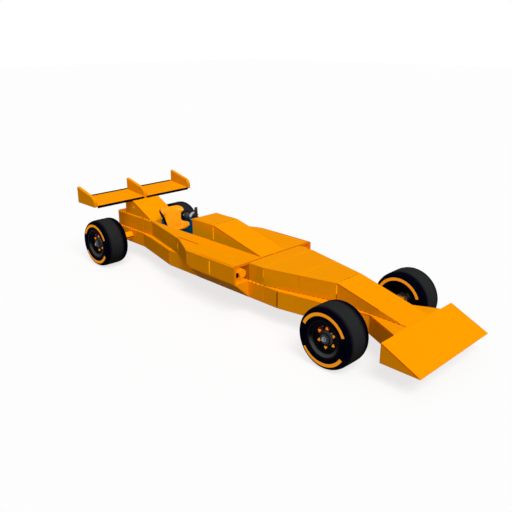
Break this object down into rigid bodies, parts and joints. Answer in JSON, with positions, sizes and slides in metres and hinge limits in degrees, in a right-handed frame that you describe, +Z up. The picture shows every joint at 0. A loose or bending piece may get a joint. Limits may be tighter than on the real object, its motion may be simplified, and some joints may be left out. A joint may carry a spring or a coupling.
{
  "type": "open wheel racing car",
  "caption": "Single-seat open wheel racing car with flat orange body panels, wedge front wing, high rear wing with upright fins, and wide slick tyres.",
  "frame": {"origin": "middle of the length and width, on the ground under the tyres", "axes": "+X forward, +Y to the car's left, +Z up"},
  "size_m": [5.55, 1.722, 1.1268],
  "materials": {
    "body_paint": "satin orange paint",
    "seat_shell": "glossy moulded shell",
    "blue_liner": "matte",
    "black_plastic": "matte",
    "axle_paint": "semi-gloss orange paint",
    "steel": "brushed",
    "steering_grey": "satin",
    "engine_metal": "cast",
    "tyre": "matte rubber",
    "rim_metal": "dark satin"
  },
  "bodies": {
    "chassis": {"rear_floor": "body_paint", "floor_tub": "body_paint", "shoulder_floor": "body_paint", "nose_floor": "body_paint", "front_wing": "body_paint", "engine_bay_body": "body_paint", "firewall_body": "body_paint", "engine_cover": "body_paint", "cockpit_surround": "body_paint", "scuttle": "body_paint", "nose_plate": "body_paint", "nose_cone": "body_paint", "cowl": "body_paint", "rear_wing_board": "body_paint", "rear_wing_fin_centre": "body_paint", "sidepod_deck_left": "body_paint", "sidepod_wall_left": "body_paint", "sidepod_undercut_left": "body_paint", "inlet_pipe_left": "body_paint", "rear_wing_fin_left": "body_paint", "sidepod_deck_right": "body_paint", "sidepod_wall_right": "body_paint", "sidepod_undercut_right": "body_paint", "inlet_pipe_right": "body_paint", "rear_wing_fin_right": "body_paint", "engine_block": "engine_metal", "cockpit_liner": "blue_liner", "seat": "seat_shell", "dash_panel": "black_plastic", "instrument_hood": "steering_grey", "rear_axle": "axle_paint", "front_beam": "axle_paint", "tow_eye": "steel"},
    "steering": {"steering_column": "steel", "steering_wheel": "steering_grey"},
    "front_left_knuckle": {"knuckle_left": "steel"},
    "front_right_knuckle": {"knuckle_right": "steel"},
    "front_left_wheel": {"tyre_front_left": "tyre", "rim_front_left": "rim_metal"},
    "front_right_wheel": {"tyre_front_right": "tyre", "rim_front_right": "rim_metal"},
    "rear_left_wheel": {"tyre_rear_left": "tyre", "rim_rear_left": "rim_metal"},
    "rear_right_wheel": {"tyre_rear_right": "tyre", "rim_rear_right": "rim_metal"}
  },
  "joints": [
    {"name": "steering_turn", "type": "hinge", "parent": "chassis", "child": "steering", "pos_m": [-1.387, 0, 0.808], "axis": [-0.9781, 0, 0.2079], "range_deg": [-180, 180]},
    {"name": "front_left_steer", "type": "hinge", "parent": "chassis", "child": "front_left_knuckle", "pos_m": [1.77, 0.56, 0.335], "axis": [0, 0, 1], "range_deg": [-18, 18]},
    {"name": "front_right_steer", "type": "hinge", "parent": "chassis", "child": "front_right_knuckle", "pos_m": [1.77, -0.56, 0.335], "axis": [0, 0, 1], "range_deg": [-18, 18]},
    {"name": "front_left_roll", "type": "hinge", "parent": "front_left_knuckle", "child": "front_left_wheel", "pos_m": [1.77, 0.664, 0.335], "axis": [0, 1, 0], "continuous": true},
    {"name": "front_right_roll", "type": "hinge", "parent": "front_right_knuckle", "child": "front_right_wheel", "pos_m": [1.77, -0.664, 0.335], "axis": [0, 1, 0], "continuous": true},
    {"name": "rear_left_roll", "type": "hinge", "parent": "chassis", "child": "rear_left_wheel", "pos_m": [-2.44, 0.664, 0.335], "axis": [0, 1, 0], "continuous": true},
    {"name": "rear_right_roll", "type": "hinge", "parent": "chassis", "child": "rear_right_wheel", "pos_m": [-2.44, -0.664, 0.335], "axis": [0, 1, 0], "continuous": true}
  ],
  "couplings": [
    {"joint": "front_left_steer", "follows": "steering_turn", "ratio": 0.1},
    {"joint": "front_right_steer", "follows": "steering_turn", "ratio": 0.1}
  ]
}
